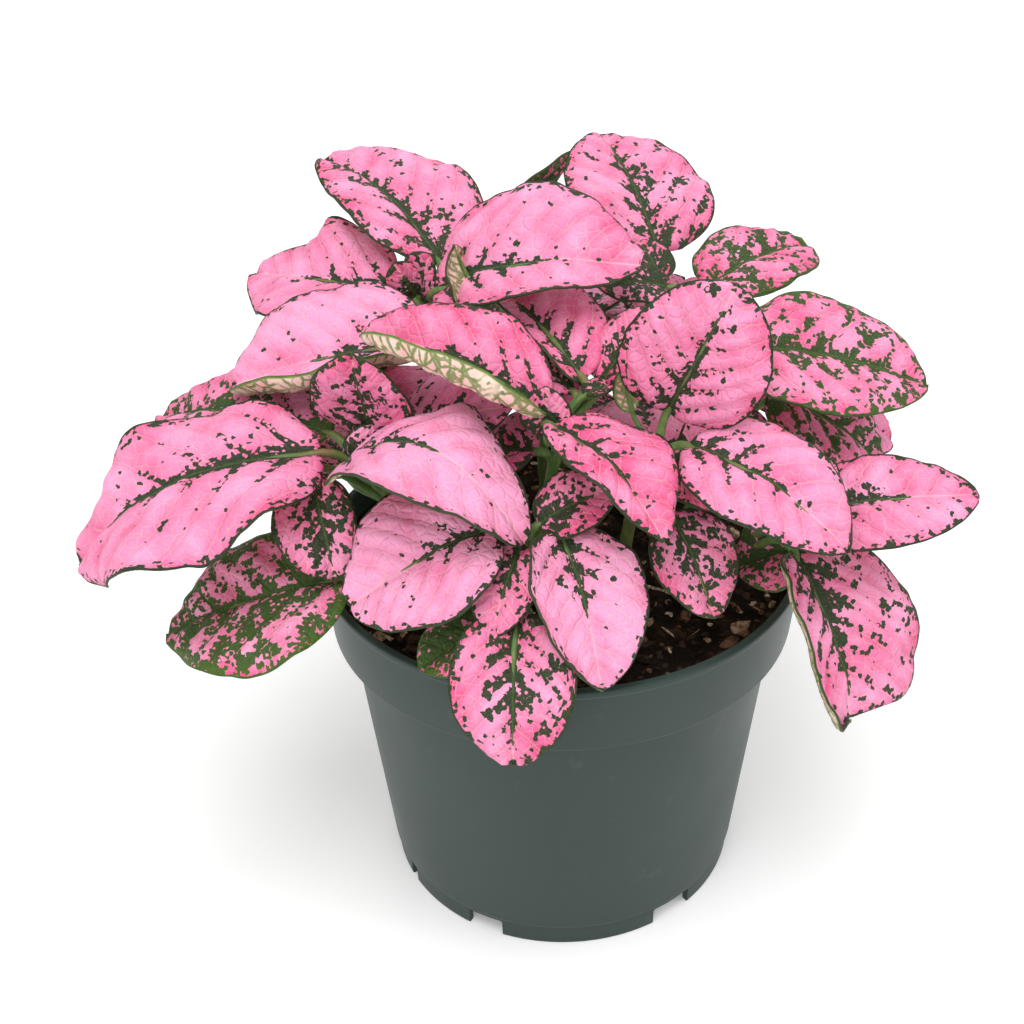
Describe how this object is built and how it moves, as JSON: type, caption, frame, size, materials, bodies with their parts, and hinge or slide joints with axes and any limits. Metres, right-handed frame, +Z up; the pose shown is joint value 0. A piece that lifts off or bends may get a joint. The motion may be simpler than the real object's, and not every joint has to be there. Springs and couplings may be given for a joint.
{
  "type": "potted polka dot plant",
  "caption": "Small bushy house plant with pink leaves spotted in dark green, growing in soil in a round tapered plastic nursery pot.",
  "frame": {"origin": "on the pot's axis, at the flat disc under the middle of the pot, which is level with its feet", "axes": "+Z up along the pot's axis, -Y towards the front of the plant, +X to its right"},
  "size_m": [0.1946, 0.1624, 0.1708],
  "materials": {
    "pot_plastic": "satin",
    "potting_soil": "rough",
    "foliage": "matte"
  },
  "bodies": {
    "root": {"pot": "pot_plastic", "soil": "potting_soil", "shoot_left": "foliage", "shoot_upper_left": "foliage", "shoot_top_left": "foliage", "shoot_top_right": "foliage", "shoot_centre": "foliage", "shoot_right_centre": "foliage", "shoot_right_upper": "foliage", "shoot_right_low": "foliage", "shoot_front": "foliage", "shoot_back_left": "foliage", "shoot_back": "foliage", "shoot_back_right": "foliage"}
  },
  "joints": []
}
